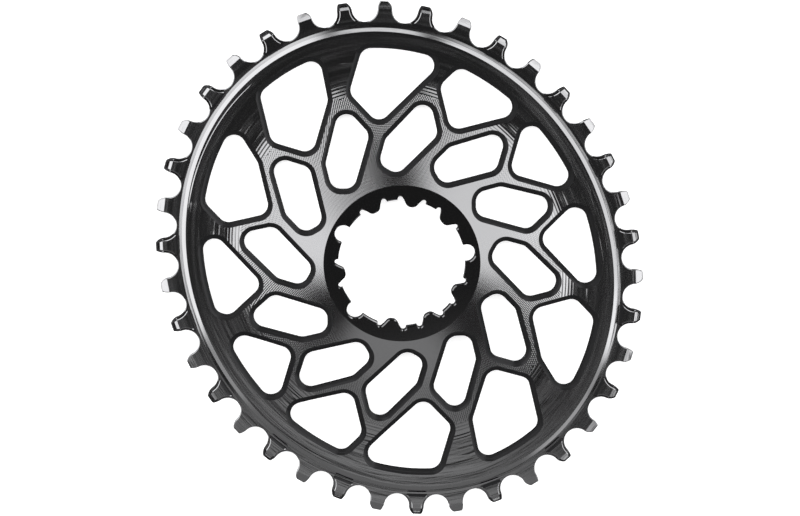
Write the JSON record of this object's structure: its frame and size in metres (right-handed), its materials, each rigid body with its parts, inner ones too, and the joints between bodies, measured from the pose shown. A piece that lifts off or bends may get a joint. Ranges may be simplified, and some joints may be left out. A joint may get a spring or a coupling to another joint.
{
  "type": "bicycle chainring",
  "caption": "Oval one-piece narrow-wide chainring with a dished, windowed web and a splined three-bolt hub.",
  "frame": {"origin": "on the ring's axis, at the back of the rim that it lies on", "axes": "+Z along the ring's axis to the outboard side, +X along the long axis of the oval"},
  "size_m": [0.1676, 0.1488, 0.0091],
  "materials": {
    "anodised": "satin"
  },
  "bodies": {
    "root": {"chainring": "anodised"}
  },
  "joints": []
}
